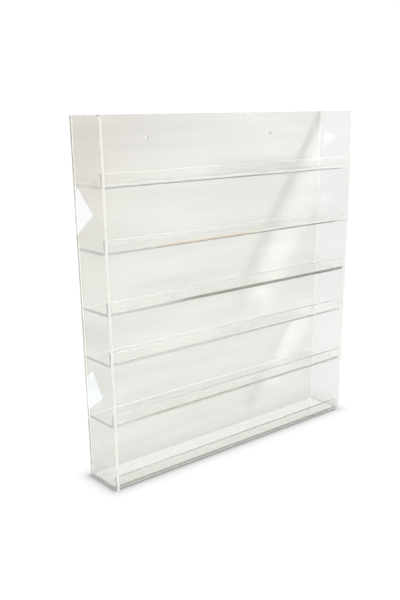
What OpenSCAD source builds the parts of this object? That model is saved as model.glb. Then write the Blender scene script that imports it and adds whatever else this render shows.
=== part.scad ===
// Clear acrylic wall rack: a flat back sheet, two upright side sheets and six lipped shelves.
// Each shelf is one strip of sheet, heat-bent up at the front into a retaining lip.
// Every joint is a plain butt joint, closed with solvent cement.
// Origin: the middle of the footprint, at floor level. +X to the right, -Y to the front, +Z up.

/* [Rack] */
// Overall width, across the outer faces of the two sides
rack_w = 380; // [280:2:520]
// Overall depth, from the wall face to the front edges of the sides
rack_d = 55; // [45:1:90]

/* [Tiers] */
// Height of tier 1, from the underside of the bottom shelf to that of shelf 2
tier_1_h = 75; // [50:1:120]
// Height of tier 2, from the underside of shelf 2 to that of shelf 3
tier_2_h = 71; // [50:1:120]
// Height of tier 3, from the underside of shelf 3 to that of shelf 4
tier_3_h = 56; // [50:1:120]
// Height of tier 4, from the underside of shelf 4 to that of shelf 5
tier_4_h = 65; // [50:1:120]
// Height of tier 5, from the underside of shelf 5 to that of the top shelf
tier_5_h = 67; // [50:1:120]
// Height of tier 6, from the underside of the top shelf to the top edge of the sheets
tier_6_h = 71; // [60:1:140]

/* [Sheet] */
// Thickness of the back sheet
back_t = 3; // [2:0.5:6]
// Thickness of the side sheets
side_t = 3; // [2:0.5:6]
// Thickness of the shelf strips
shelf_t = 3; // [2:0.5:6]
// Thickness of the film of cement at each glued joint
joint_gap = 0.05; // [0.05:0.05:0.3]

/* [Side sheets] */
// Radius of the top front corner
side_corner_r = 7; // [1:1:20]

/* [Shelves] */
// Height of the lip, from the underside of the shelf to its top edge
lip_h = 16; // [12:1:40]
// Distance that the lip stands back from the front edges of the sides
lip_setback = 2.5; // [0:0.5:6]
// Inside radius of the heat bend
bend_r = 2; // [0.5:0.5:4]

/* [Wall holes] */
// Diameter of the two screw holes
hole_d = 5; // [3:0.5:8]
// Distance between the screw holes' centres
hole_spacing = 190; // [100:2:240]
// Distance from the top edge of the back sheet to the holes' centres
hole_drop = 25; // [12:1:40]

/* [Hidden] */
$fn = 64;

clear_acrylic = [0.86, 0.88, 0.84, 0.4];
cut_over = 1;

tier_heights = [tier_1_h, tier_2_h, tier_3_h, tier_4_h, tier_5_h, tier_6_h];

// Sum of the first n entries of a list
function sum_first(list, n) = n == 0 ? 0 : list[n - 1] + sum_first(list, n - 1);

rack_h = sum_first(tier_heights, len(tier_heights));

// Places along the depth: the wall face, the face that the sides and shelves are glued to, and the front
wall_y = rack_d / 2;
glue_y = wall_y - back_t;
front_y = -rack_d / 2;

side_depth = glue_y - joint_gap - front_y;
shelf_depth = side_depth - lip_setback;
shelf_w = rack_w - 2 * (side_t + joint_gap);

// Outline in the first quadrant with one corner rounded, the one at the far end of its top edge
module round_top_outline(depth, height, radius) {
    square([depth, height - radius]);
    square([depth - radius, height]);
    translate([depth - radius, height - radius]) circle(r = radius);
}

// Stands an outline upright: its x runs forward from the glued face, its y runs up,
// and its thickness runs left from right_x
module upright(right_x, thickness) {
    translate([right_x, glue_y - joint_gap, 0])
        rotate([90, 0, -90])
            linear_extrude(thickness)
                children();
}

// Section of a shelf, a flat strip turned up at its front end
module shelf_section() {
    translate([0, lip_h])
        mirror([0, 1])
            difference() {
                round_top_outline(shelf_depth, lip_h, bend_r + shelf_t);
                translate([-cut_over, -cut_over])
                    round_top_outline(shelf_depth - shelf_t + cut_over,
                                      lip_h - shelf_t + cut_over, bend_r);
            }
}

module back_panel() {
    color(clear_acrylic)
        difference() {
            translate([-rack_w / 2, glue_y, 0])
                cube([rack_w, back_t, rack_h]);
            for (side = [-1, 1])
                translate([side * hole_spacing / 2, wall_y + cut_over, rack_h - hole_drop])
                    rotate([90, 0, 0])
                        cylinder(d = hole_d, h = back_t + 2 * cut_over);
        }
}

module side_sheet(right_x) {
    color(clear_acrylic)
        upright(right_x, side_t)
            round_top_outline(side_depth, rack_h, side_corner_r);
}

module left_side() side_sheet(-rack_w / 2 + side_t);

module right_side() side_sheet(rack_w / 2);

// Shelf that forms the floor of the given tier, counted from 1 at the bottom
module shelf(tier) {
    color(clear_acrylic)
        translate([0, 0, sum_first(tier_heights, tier - 1)])
            upright(shelf_w / 2, shelf_w)
                shelf_section();
}

back_panel();
left_side();
right_side();
shelf(1);  // shelf_1_bottom
shelf(2);  // shelf_2
shelf(3);  // shelf_3
shelf(4);  // shelf_4
shelf(5);  // shelf_5
shelf(6);  // shelf_6_top
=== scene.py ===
import math
from collections import namedtuple

import bpy
from mathutils import Matrix, Vector


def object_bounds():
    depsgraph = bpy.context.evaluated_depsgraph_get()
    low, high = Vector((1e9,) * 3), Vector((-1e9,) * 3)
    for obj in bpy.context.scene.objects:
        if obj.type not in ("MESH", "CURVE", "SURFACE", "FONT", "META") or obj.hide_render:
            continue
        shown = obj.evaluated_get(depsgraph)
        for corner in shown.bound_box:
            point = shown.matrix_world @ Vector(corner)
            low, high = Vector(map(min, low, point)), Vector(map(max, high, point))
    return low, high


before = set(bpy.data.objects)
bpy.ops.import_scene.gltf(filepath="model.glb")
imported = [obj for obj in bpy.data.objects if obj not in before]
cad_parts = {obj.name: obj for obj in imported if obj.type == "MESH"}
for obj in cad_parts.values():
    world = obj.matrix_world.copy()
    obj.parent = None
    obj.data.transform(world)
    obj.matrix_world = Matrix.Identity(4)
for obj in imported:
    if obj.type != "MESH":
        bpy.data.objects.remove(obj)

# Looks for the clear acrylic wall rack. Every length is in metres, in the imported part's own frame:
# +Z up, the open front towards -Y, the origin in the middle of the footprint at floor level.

cad_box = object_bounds()
LOW = Vector(cad_box[0])
HIGH = Vector(cad_box[1])
WIDTH, DEPTH, HEIGHT = HIGH - LOW

AXIS_X, AXIS_Y, AXIS_Z = range(3)
UP = Vector((0.0, 0.0, 1.0))


def reach(name, axis):
    """The lowest and the highest coordinate of one CAD sheet."""
    values = [vertex.co[axis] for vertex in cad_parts[name].data.vertices]
    return min(values), max(values)


# ---------------------------------------------------------------- node helpers

class Nodes:
    """Short calls for building one material's node tree."""

    def __init__(self, name):
        self.material = bpy.data.materials.new(name)
        self.material.use_nodes = True
        self.tree = self.material.node_tree
        self.tree.nodes.clear()

    def add(self, kind, **settings):
        node = self.tree.nodes.new(kind)
        for key, value in settings.items():
            setattr(node, key, value)
        return node

    def feed(self, socket, value):
        """Links a socket, or sets its plain value."""
        if isinstance(value, bpy.types.NodeSocket):
            self.tree.links.new(value, socket)
        else:
            socket.default_value = value

    def place(self):
        """The point being shaded, in its object's coordinates. A CAD sheet's are the frame's."""
        return self.add("ShaderNodeTexCoord").outputs["Object"]

    def parts(self, vector):
        """The X, Y and Z of a vector."""
        node = self.add("ShaderNodeSeparateXYZ")
        self.feed(node.inputs[0], vector)
        return node.outputs

    def vector(self, operation, first, second=(0.0, 0.0, 0.0)):
        node = self.add("ShaderNodeVectorMath", operation=operation)
        self.feed(node.inputs[0], first)
        self.feed(node.inputs[1], second)
        return node.outputs["Value" if operation == "LENGTH" else "Vector"]

    def math(self, operation, first, second=0.0, clamp=False):
        node = self.add("ShaderNodeMath", operation=operation, use_clamp=clamp)
        self.feed(node.inputs[0], first)
        self.feed(node.inputs[1], second)
        return node.outputs[0]

    def times(self, first, second):
        return self.math("MULTIPLY", first, second)

    def rest_of(self, share):
        """What is left of one."""
        return self.math("SUBTRACT", 1.0, share, clamp=True)

    def ramp(self, value, low, high, to_low=0.0, to_high=1.0):
        """Maps low..high smoothly to to_low..to_high."""
        node = self.add("ShaderNodeMapRange", interpolation_type="SMOOTHSTEP")
        for index, item in enumerate((value, low, high, to_low, to_high)):
            self.feed(node.inputs[index], item)
        return node.outputs[0]

    def noise(self, where, scale, detail=2.0, roughness=0.5):
        node = self.add("ShaderNodeTexNoise")
        self.feed(node.inputs["Vector"], where)
        self.feed(node.inputs["Scale"], scale)
        self.feed(node.inputs["Detail"], detail)
        self.feed(node.inputs["Roughness"], roughness)
        return node.outputs["Fac"]

    def grain(self, where, per_metre, detail=2.0, roughness=0.5):
        """Noise with its own fineness along each axis."""
        node = self.add("ShaderNodeMapping")
        self.feed(node.inputs["Vector"], where)
        self.feed(node.inputs["Scale"], per_metre)
        return self.noise(node.outputs["Vector"], 1.0, detail, roughness)

    def colour_mix(self, factor, first, second, blend="MIX"):
        node = self.add("ShaderNodeMix", data_type="RGBA", blend_type=blend)
        self.feed(node.inputs["Factor"], factor)
        self.feed(node.inputs["A"], first)
        self.feed(node.inputs["B"], second)
        return node.outputs["Result"]

    def output(self, surface):
        self.feed(self.add("ShaderNodeOutputMaterial").inputs["Surface"], surface)
        return self.material


def rgba(red, green, blue):
    return (red, green, blue, 1.0)


def grey(value):
    return rgba(value, value, value)


# --------------------------------------------------------------- clear acrylic

ACRYLIC_IOR = 1.49

# What a lamp's light keeps at each face it passes
LIGHT_PASSED = rgba(0.985, 0.985, 0.98)

# A face is sawn where it turns away from the axis across its sheet, and it is a front edge where it faces -Y.
# The top of a shelf's lip is sawn too. It reaches down this depth and counts as this share of a sawn edge
SAWN_TURN = (0.3, 0.7)
FRONT_TURN = (-0.8, -0.3)
LIP_SAWN_DEPTH = 0.0008
LIP_SAWN_SHARE = 0.5

# A face is bent where it turns between level and upright. The bent strip's tint is painted shade. It and its
# amber part fade in and out over this length each way, and the amber multiplier below multiplies the tint
BENT_TURN = (0.02, 0.25)
TINT_FADE = 0.03
PAINTED_AMBER = (1.04, 0.94, 0.83)

# Bands, dust, wipes, saw marks and waves are noise. PER_METRE is how fine it is along each axis, and SPAN is
# the part of its values over which the change comes in

# Soft bands along the sheet: how they change the haze, and the tint of the deeper ones
BANDS_PER_METRE = (2.5, 2.5, 24.0)
BAND_HAZE_SPAN = (0.3, 0.7)
BAND_HAZE = (0.92, 1.10)
BAND_TINT_SPAN = (0.35, 0.65)
BAND_TINT = grey(0.95)

# Fine dust: the haze without it and with it
DUST_PER_METRE = 900.0
DUST_SPAN = (0.66, 0.8)
DUST_HAZE = (1.0, 1.15)

# Wipe marks on the polished faces and saw marks on the edges: the surface roughness between which they vary
WIPES_PER_METRE = (14.0, 14.0, 140.0)
WIPE_SPAN = (0.3, 0.8)
WIPED = (0.012, 0.038)
SAW_MARKS_PER_METRE = (2600.0, 2600.0, 420.0)
SAW_SPAN = (0.3, 0.7)
SAWN = (0.12, 0.3)

# The top left corner is warmer: Z less this share of X goes from the first share of the rack's height, where
# the warm tint starts, to the second, where it is full
WARM_LEAN = 0.9
WARM_FROM, WARM_TO = 0.8, 1.45

# Slow waves in the sheet, only as a bend of its shading
WAVES_PER_METRE = (5.0, 5.0, 9.0)
WAVE_STRENGTH = 0.03
WAVE_HEIGHT = 0.0012

# A heat-bent strip: its tint, which is painted shade, its scatter, the X where that shade comes in and the X
# between which it is amber
Bend = namedtuple("Bend", "tint scatter tint_from amber_from amber_to")


def sawn_mask(n, place, normal, sheet_axis, lip_top):
    """1 on sawn edges. A bent shelf, whose sheet_axis is None, is sawn at both ends and along its lip."""
    if sheet_axis is None:
        facing = n.rest_of(n.math("ABSOLUTE", normal[AXIS_X]))
    else:
        facing = n.math("ABSOLUTE", normal[sheet_axis])
    sawn = n.ramp(facing, *SAWN_TURN, 1.0, 0.0)
    if lip_top is None:
        return sawn
    start, full = lip_top - LIP_SAWN_DEPTH, lip_top - LIP_SAWN_DEPTH / 2
    return n.math("MAXIMUM", sawn, n.ramp(place[AXIS_Z], start, full, 0.0, LIP_SAWN_SHARE))


def bend_painted_shade(n, place, bend):
    """The bent strip's painted shade, amber over part of its length, and a mask of where that shade has come
    in.
    """
    def from_here(x):
        return n.ramp(place[AXIS_X], x - TINT_FADE, x + TINT_FADE)

    # The amber part of the bend's painted shade
    amber = n.math("SUBTRACT", from_here(bend.amber_from), from_here(bend.amber_to), clamp=True)
    painted_amber_shade = rgba(*(share * part for share, part in zip(PAINTED_AMBER, bend.tint)))
    return n.colour_mix(amber, bend.tint, painted_amber_shade), from_here(bend.tint_from)


def acrylic(name, tint, warm_tint, edge_tint, haze, edge_scatter, front_scatter=None, sheet_axis=None,
            bend=None, lip_top=None):
    """Clear acrylic sheet: polished faces with faint haze, dust and wipe marks, and sawn edges.

    tint colours what is seen through it and turns to warm_tint towards the rack's top left corner.
    haze, edge_scatter and front_scatter are the shares of light that the faces, the sawn edges and the
    sawn front edges scatter. sheet_axis is the axis across a flat sheet. A bent shelf has a bend and the
    height of its lip's top instead.
    """
    n = Nodes(name)
    where = n.place()
    place = n.parts(where)
    normal = n.parts(n.add("ShaderNodeNewGeometry").outputs["True Normal"])
    sawn = sawn_mask(n, place, normal, sheet_axis, lip_top)
    polished = n.rest_of(sawn)

    # Haze gathers in soft bands with fine dust on top. Front edges are left matt from the saw
    bands = n.grain(where, BANDS_PER_METRE)
    dust = n.ramp(n.noise(where, DUST_PER_METRE, roughness=0.7), *DUST_SPAN, *DUST_HAZE)
    hazy = n.times(n.times(n.ramp(bands, *BAND_HAZE_SPAN, *BAND_HAZE), dust), haze)
    if front_scatter is None:
        front_scatter = edge_scatter
    matt = n.ramp(normal[AXIS_Y], *FRONT_TURN, front_scatter, edge_scatter)
    scatter = n.math("ADD", n.times(hazy, polished), n.times(sawn, matt), clamp=True)

    # The sheet is a little warmer in colour towards its top left corner, and is deeper in colour in soft
    # bands
    corner = n.math("SUBTRACT", place[AXIS_Z], n.times(place[AXIS_X], WARM_LEAN))
    warmer_towards_corner = n.ramp(corner, HEIGHT * WARM_FROM, HEIGHT * WARM_TO)
    body_tint = n.colour_mix(warmer_towards_corner, tint, warm_tint)
    body_tint = n.colour_mix(n.ramp(bands, *BAND_TINT_SPAN, 1.0, 0.0), body_tint, BAND_TINT, "MULTIPLY")

    # Heat leaves the bent strip clouded, most where it faces down or up. Its own tint is painted shade that
    # darkens each shelf's bend by its own amount, for the dark line seen along it
    if bend is not None:
        bent = n.ramp(n.math("ABSOLUTE", n.times(normal[AXIS_Y], normal[AXIS_Z])), *BENT_TURN)
        level = n.math("POWER", n.math("ABSOLUTE", normal[AXIS_Z]), 2.0)
        clouded = n.times(n.times(bent, level), bend.scatter)
        scatter = n.math("ADD", scatter, clouded, clamp=True)
        painted_bend_shade, tinted = bend_painted_shade(n, place, bend)
        body_tint = n.colour_mix(n.times(bent, tinted), body_tint, painted_bend_shade)

    # Polish is uneven: wipe marks run across the faces, and the saw leaves fine marks on the edges
    wipes = n.ramp(n.grain(where, WIPES_PER_METRE, detail=4.0, roughness=0.6), *WIPE_SPAN, *WIPED)
    saw_marks = n.ramp(n.grain(where, SAW_MARKS_PER_METRE), *SAW_SPAN, *SAWN)
    roughness = n.math("ADD", n.times(wipes, polished), n.times(saw_marks, sawn))

    # Cast sheet is never quite flat
    bump = n.add("ShaderNodeBump")
    n.feed(bump.inputs["Strength"], WAVE_STRENGTH)
    n.feed(bump.inputs["Distance"], WAVE_HEIGHT)
    n.feed(bump.inputs["Height"], n.grain(where, WAVES_PER_METRE, detail=1.0))

    glass = n.add("ShaderNodeBsdfPrincipled")
    n.feed(glass.inputs["Base Color"], n.colour_mix(sawn, body_tint, edge_tint))
    n.feed(glass.inputs["Roughness"], roughness)
    n.feed(glass.inputs["IOR"], ACRYLIC_IOR)
    n.feed(glass.inputs["Transmission Weight"], n.rest_of(scatter))
    n.feed(glass.inputs["Normal"], bump.outputs[0])

    # Lamps' light and the light between matt surfaces pass straight through, dimmed a little at each face
    through = n.add("ShaderNodeBsdfTransparent")
    n.feed(through.inputs["Color"], LIGHT_PASSED)
    path = n.add("ShaderNodeLightPath")
    surface = glass.outputs[0]
    for ray in ("Is Diffuse Ray", "Is Shadow Ray"):
        mix = n.add("ShaderNodeMixShader")
        n.feed(mix.inputs[0], path.outputs[ray])
        n.feed(mix.inputs[1], surface)
        n.feed(mix.inputs[2], through.outputs[0])
        surface = mix.outputs[0]
    return n.output(surface)


# ------------------------------------------------------------------ the sheets

# Tints set per sheet: partly the acrylic's own grey-green, partly painted shade, deepest on the back panel
BACK_TINT = rgba(0.73, 0.735, 0.70)
BACK_WARM = rgba(0.67, 0.645, 0.605)
LEFT_TINT = rgba(0.90, 0.905, 0.885)
LEFT_WARM = rgba(0.90, 0.885, 0.85)
RIGHT_TINT = rgba(0.845, 0.85, 0.84)
SHELF_TINT = rgba(1.0, 1.0, 0.99)
FOOT_TINT = rgba(0.90, 0.905, 0.875)

# The back's dark edge tint is painted shade on its holes' walls and rear edges
BACK_EDGE = rgba(0.64, 0.65, 0.60)
SIDE_EDGE = rgba(0.78, 0.77, 0.725)
SHELF_EDGE = rgba(0.95, 0.955, 0.93)

# Past both ends of every shelf, for a bend with one tint all along
FAR_LEFT, FAR_RIGHT = -0.3, 0.3

# Each bend's tint is painted shade for the dark line under its lip, deeper on some shelves than others
BENDS = {
    "shelf_1_bottom": Bend(rgba(0.56, 0.55, 0.52), 0.05, FAR_LEFT, FAR_RIGHT, FAR_RIGHT),
    "shelf_2": Bend(rgba(0.63, 0.63, 0.59), 0.0, -0.150, -0.150, 0.0),
    "shelf_3": Bend(rgba(0.90, 0.90, 0.87), 0.0, FAR_LEFT, FAR_RIGHT, FAR_RIGHT),
    "shelf_4": Bend(rgba(0.32, 0.32, 0.30), 0.0, -0.095, -0.090, 0.050),
    "shelf_5": Bend(rgba(0.98, 0.97, 0.93), 0.40, -0.135, -0.120, 0.030),
    "shelf_6_top": Bend(SHELF_TINT, 0.65, FAR_LEFT, FAR_RIGHT, FAR_RIGHT),
}


def finish_sheets():
    """Gives each CAD sheet its acrylic."""
    side_look = {"haze": 0.03, "edge_scatter": 0.05, "front_scatter": 0.85, "sheet_axis": AXIS_X}
    sheets = {
        "back_panel": acrylic("acrylic_back", BACK_TINT, BACK_WARM, BACK_EDGE, haze=0.38,
                              edge_scatter=0.05, sheet_axis=AXIS_Y),
        "left_side": acrylic("acrylic_left", LEFT_TINT, LEFT_WARM, SIDE_EDGE, **side_look),
        "right_side": acrylic("acrylic_right", RIGHT_TINT, RIGHT_TINT, SIDE_EDGE, **side_look),
    }
    for name, bend in BENDS.items():
        tint = FOOT_TINT if name == "shelf_1_bottom" else SHELF_TINT
        sheets[name] = acrylic("acrylic_" + name, tint, tint, SHELF_EDGE, haze=0.0, edge_scatter=0.45,
                               bend=bend, lip_top=reach(name, AXIS_Z)[1])
    for name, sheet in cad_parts.items():
        sheet.data.materials.clear()
        sheet.data.materials.append(sheets[name])


# ----------------------------------------------------------------------- floor

FLOOR_RADIUS = 12.0
FLOOR_STEPS = 96
FLOOR_GAP = 0.0004

PAPER_WHITES = (0.93, 0.95)
PAPER_ROUGHNESS = 0.9
TOOTH_PER_METRE = 400.0

# The rack's contact shadow is painted into the paper's colour: a thin core and a wide soft edge. Both start
# just inside the footprint, further in at the front
CONTACT_INSET = 0.002
FRONT_INSET = 0.0065
CONTACT_ONSET = 0.001
CORE_SHADE, CORE_WIDTH = 0.72, 0.0045
SOFT_SHADE, SOFT_WIDTH = 0.28, 0.013


def floor_paper():
    """Matt white paper with a faint tooth, and the rack's contact shadow painted round its foot."""
    n = Nodes("white_paper")
    where = n.place()
    half = (WIDTH / 2 - CONTACT_INSET, DEPTH / 2 - (FRONT_INSET + CONTACT_INSET) / 2, 1.0)
    middle = (0.0, (FRONT_INSET - CONTACT_INSET) / 2, 0.0)
    outside = n.vector("SUBTRACT", n.vector("ABSOLUTE", n.vector("SUBTRACT", where, middle)), half)
    away = n.vector("LENGTH", n.vector("MAXIMUM", outside, (0.0, 0.0, 0.0)))

    def shade(depth, width):
        return n.times(n.math("EXPONENT", n.times(away, -1.0 / width)), depth)

    painted_contact_shadow = n.math("ADD", shade(CORE_SHADE, CORE_WIDTH), shade(SOFT_SHADE, SOFT_WIDTH))
    is_outside = n.ramp(away, 0.0, CONTACT_ONSET)
    tooth = n.noise(where, TOOTH_PER_METRE)
    white = n.colour_mix(tooth, *(grey(value) for value in PAPER_WHITES))
    paper = n.add("ShaderNodeBsdfPrincipled")
    # The painted contact shadow darkens the paper's colour towards black outside the footprint
    n.feed(paper.inputs["Base Color"], n.colour_mix(n.times(painted_contact_shadow, is_outside), white, grey(0.0)))
    n.feed(paper.inputs["Roughness"], PAPER_ROUGHNESS)
    n.feed(paper.inputs["Specular IOR Level"], 0.0)
    return n.output(paper.outputs[0])


def add_floor():
    """A plain disc just under the rack."""
    ring = []
    for step in range(FLOOR_STEPS):
        angle = 2 * math.pi * step / FLOOR_STEPS
        ring.append((FLOOR_RADIUS * math.cos(angle), FLOOR_RADIUS * math.sin(angle), 0.0))
    mesh = bpy.data.meshes.new("floor")
    mesh.from_pydata(ring, [], [list(range(FLOOR_STEPS))])
    floor = bpy.data.objects.new("floor", mesh)
    floor.location.z = LOW.z - FLOOR_GAP
    floor.data.materials.append(floor_paper())
    bpy.context.scene.collection.objects.link(floor)
    return floor


# -------------------------------------------------------------------- lighting

# World, key and fill together light the floor as bright as the world looks, a little over full white
WORLD_SEEN = 1.09
WORLD_LIGHTING = 0.45
KEY_POWER = 2.3
KEY_WAY = Vector((-1.0, -1.0, 1.7))
KEY_SOFTNESS = 2.0
FILL_POWER = 0.9
FILL_WAY = Vector((-0.3, -1.0, 0.5))
FILL_SOFTNESS = 30.0

# The faces that show the streaks and the glints, and the place of the camera that they are aimed for
CAMERA_PLACE = Vector((-0.6134, -0.6856, 0.4091))
LEFT_FACE_X = LOW.x
RIGHT_FACE_X = reach("right_side", AXIS_X)[0]
BACK_FACE_Y = reach("back_panel", AXIS_Y)[0]

# Lines on the back panel, each from its start to its end, in X and Z. The streaks are bright and slant. The
# shadows are thin: a slanting one beside each streak, and a level one that meets it in a corner. A shadow is
# sharp at its start and soft at its end
Line = namedtuple("Line", "name start end")
STREAKS = (
    Line("high", (0.222, 0.395), (0.082, 0.165)),
    Line("low", (0.171, 0.150), (0.100, 0.050)),
)
SHADOWS = (
    Line("high", (0.194, 0.415), (0.037, 0.178)),
    Line("low", (0.150, 0.150), (0.057, 0.024)),
    Line("high_level", (0.152, 0.344), (0.0, 0.345)),
    Line("low_level", (0.154, 0.138), (0.0, 0.137)),
)

# The streaks' lamps are narrow beams, this far from the panel along BEAM_WAY. Spreads are in degrees
STREAK_WIDTH = 0.036
STREAK_WATTS_PER_METRE = 0.036
STREAK_SPREAD = 2.0
BEAM_LENGTH = 0.8
BEAM_WAY = Vector((-0.35, -1.0, 0.45)).normalized()

# The shadows' bars: how far each bar's two ends are from the panel, towards the key
FLAG_DISTANCES = (0.04, 0.36)
FLAG_RADIUS = 0.003

# A glint is the image of a square lamp in a side sheet: two bright patches on the left side and two small
# ones inside the right side. spot is where the sheet mirrors the lamp to the camera, and distance is from
# there to the lamp. The lamp is turned by so many degrees about the vertical, which narrows it. through says
# that its light reaches the camera through another sheet
Glint = namedtuple("Glint", "name spot distance side turned brightness spread through")
GLINT_COLOUR = (0.70, 0.81, 1.0)
RIGHT_SPOT_Y = 0.011
GLINTS = (
    Glint("left_high", (LEFT_FACE_X, BACK_FACE_Y, 0.307), 1.0, 0.080, 50.0, 3.1, 180.0, False),
    Glint("left_low", (LEFT_FACE_X, BACK_FACE_Y, 0.105), 0.2, 0.044, 50.0, 2.6, 180.0, False),
    Glint("right_high", (RIGHT_FACE_X, RIGHT_SPOT_Y, 0.372), 0.5, 0.016, 0.0, 14.0, 14.0, True),
    Glint("right_middle", (RIGHT_FACE_X, RIGHT_SPOT_Y, 0.294), 0.5, 0.016, 0.0, 5.0, 14.0, True),
)


def group(name, objects):
    """A collection that only the lamps refer to."""
    collection = bpy.data.collections.new(name)
    for obj in objects:
        collection.objects.link(obj)
    return collection


def light_only(lamp, receivers, blockers=None):
    """The lamp lights the receivers only. Only the blockers shade it, or everything if none are given."""
    lamp.light_linking.receiver_collection = receivers
    if blockers is not None:
        lamp.light_linking.blocker_collection = blockers


def add_world(seen, lighting):
    """Even white all round, at one strength to look at and a weaker one as light on matt surfaces."""
    world = bpy.data.worlds.new("studio")
    world.use_nodes = True
    tree = world.node_tree
    background = tree.nodes["Background"]
    background.inputs["Color"].default_value = grey(1.0)
    strength = tree.nodes.new("ShaderNodeMapRange")
    strength.inputs["To Min"].default_value = seen
    strength.inputs["To Max"].default_value = lighting
    path = tree.nodes.new("ShaderNodeLightPath")
    tree.links.new(path.outputs["Is Diffuse Ray"], strength.inputs["Value"])
    tree.links.new(strength.outputs[0], background.inputs["Strength"])
    bpy.context.scene.world = world


def add_sun(name, way, power, softness):
    """A lamp far away in the direction way, softness degrees across."""
    light = bpy.data.lights.new(name, "SUN")
    light.energy = power
    light.angle = math.radians(softness)
    obj = bpy.data.objects.new(name, light)
    obj.rotation_euler = way.to_track_quat("Z", "Y").to_euler()
    bpy.context.scene.collection.objects.link(obj)
    return obj


def add_area(name, place, facing, long_way, size, watts, spread):
    """A rectangular lamp that no camera sees, with its first side along long_way."""
    light = bpy.data.lights.new(name, "AREA")
    light.shape = "RECTANGLE"
    light.size, light.size_y = size
    light.energy = watts
    light.spread = math.radians(spread)
    back = -facing.normalized()
    across = (long_way - back * long_way.dot(back)).normalized()
    rotation = Matrix((across, back.cross(across), back)).transposed()
    obj = bpy.data.objects.new(name, light)
    obj.matrix_world = Matrix.Translation(place) @ rotation.to_4x4()
    obj.visible_camera = False
    bpy.context.scene.collection.objects.link(obj)
    return obj


def on_back(spot):
    """A point on the back panel's front face from its X and Z."""
    return Vector((spot[0], BACK_FACE_Y, spot[1]))


def add_streak(streak, rack):
    """A narrow beam from the front, which draws one bright streak on the back panel."""
    top, foot = on_back(streak.start), on_back(streak.end)
    line = top - foot
    length = (line - BEAM_WAY * line.dot(BEAM_WAY)).length
    place = (top + foot) / 2 + BEAM_WAY * BEAM_LENGTH
    lamp = add_area("streak_" + streak.name, place, -BEAM_WAY, line, (length, STREAK_WIDTH),
                    STREAK_WATTS_PER_METRE * length, STREAK_SPREAD)
    light_only(lamp, rack)


def add_flag(shadow):
    """A thin bar between the key and the rack. Only its shadow is seen."""
    curve = bpy.data.curves.new("flag_" + shadow.name, "CURVE")
    curve.dimensions = "3D"
    curve.bevel_depth = FLAG_RADIUS
    line = curve.splines.new("POLY")
    line.points.add(1)
    for point, spot, distance in zip(line.points, (shadow.start, shadow.end), FLAG_DISTANCES):
        point.co = (*(on_back(spot) + KEY_WAY.normalized() * distance), 1.0)
    flag = bpy.data.objects.new("flag_" + shadow.name, curve)
    for ray in ("camera", "diffuse", "glossy", "transmission"):
        setattr(flag, "visible_" + ray, False)
    bpy.context.scene.collection.objects.link(flag)


def add_glint(glint):
    """A square lamp on its corner, where a side sheet mirrors it from the glint's spot to the camera."""
    spot = Vector(glint.spot)
    ray = (spot - CAMERA_PLACE).normalized()
    mirrored = Vector((-ray.x, ray.y, ray.z))
    facing = Matrix.Rotation(math.radians(glint.turned), 3, "Z") @ -mirrored
    corner_up = UP + facing.cross(UP).normalized()

    # A lamp of limited spread is brighter for the same watts
    half_spread = math.radians(glint.spread) / 2
    spread_share = 1 - half_spread / math.tan(half_spread)
    watts = glint.brightness * math.pi * glint.side * glint.side * spread_share
    lamp = add_area("glint_" + glint.name, spot + mirrored * glint.distance, facing, corner_up,
                    (glint.side, glint.side), watts, glint.spread)
    lamp.data.color = GLINT_COLOUR
    lamp.visible_diffuse = False
    lamp.visible_transmission = glint.through


def light_studio():
    """Floor, world and lamps. The key is two lamps, so that the flags shade the rack and not the floor."""
    rack = group("rack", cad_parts.values())
    floor = group("floor_only", [add_floor()])
    add_world(WORLD_SEEN, WORLD_LIGHTING)
    light_only(add_sun("key", KEY_WAY, KEY_POWER, KEY_SOFTNESS), rack)
    light_only(add_sun("key_on_floor", KEY_WAY, KEY_POWER, KEY_SOFTNESS), floor, rack)
    add_sun("fill", FILL_WAY, FILL_POWER, FILL_SOFTNESS)
    for streak in STREAKS:
        add_streak(streak, rack)
    for shadow in SHADOWS:
        add_flag(shadow)
    for glint in GLINTS:
        add_glint(glint)


# ---------------------------------------------------------------------- camera

# The camera's view, as fitted to the rack. The sensor lies along the picture's longer side, and the shift is
# in shares of it. The angles, in radians, are how far the camera turns right of +Y, looks down and tilts
SENSOR_MM = 36.0
LENS_MM = 45.96
SHIFT = (0.003, 0.110)
TURN, DOWN, TILT = 0.6908, 0.3233, -0.0127
FARTHEST_SEEN = 100.0


def add_camera():
    camera = bpy.data.cameras.new("camera")
    camera.sensor_width = SENSOR_MM
    camera.lens = LENS_MM
    camera.shift_x, camera.shift_y = SHIFT
    camera.clip_end = FARTHEST_SEEN
    ahead = Vector((math.sin(TURN) * math.cos(DOWN), math.cos(TURN) * math.cos(DOWN), -math.sin(DOWN)))
    level = Vector((math.cos(TURN), -math.sin(TURN), 0.0))
    upright = level.cross(ahead)
    right = math.cos(TILT) * level + math.sin(TILT) * upright
    up = math.cos(TILT) * upright - math.sin(TILT) * level
    rotation = Matrix((right, up, -ahead)).transposed()
    obj = bpy.data.objects.new("camera", camera)
    obj.matrix_world = Matrix.Translation(CAMERA_PLACE) @ rotation.to_4x4()
    bpy.context.scene.collection.objects.link(obj)
    bpy.context.scene.camera = obj


# Enough for a ray to cross every sheet of the rack, bent by each, and for a lamp's light to pass straight
# through them all
GLASS_BOUNCES = 24
THROUGH_BOUNCES = 32

finish_sheets()
light_studio()
add_camera()
bpy.context.scene.cycles.max_bounces = GLASS_BOUNCES
bpy.context.scene.cycles.transmission_bounces = GLASS_BOUNCES
bpy.context.scene.cycles.transparent_max_bounces = THROUGH_BOUNCES
bpy.context.scene.view_settings.view_transform = "Standard"
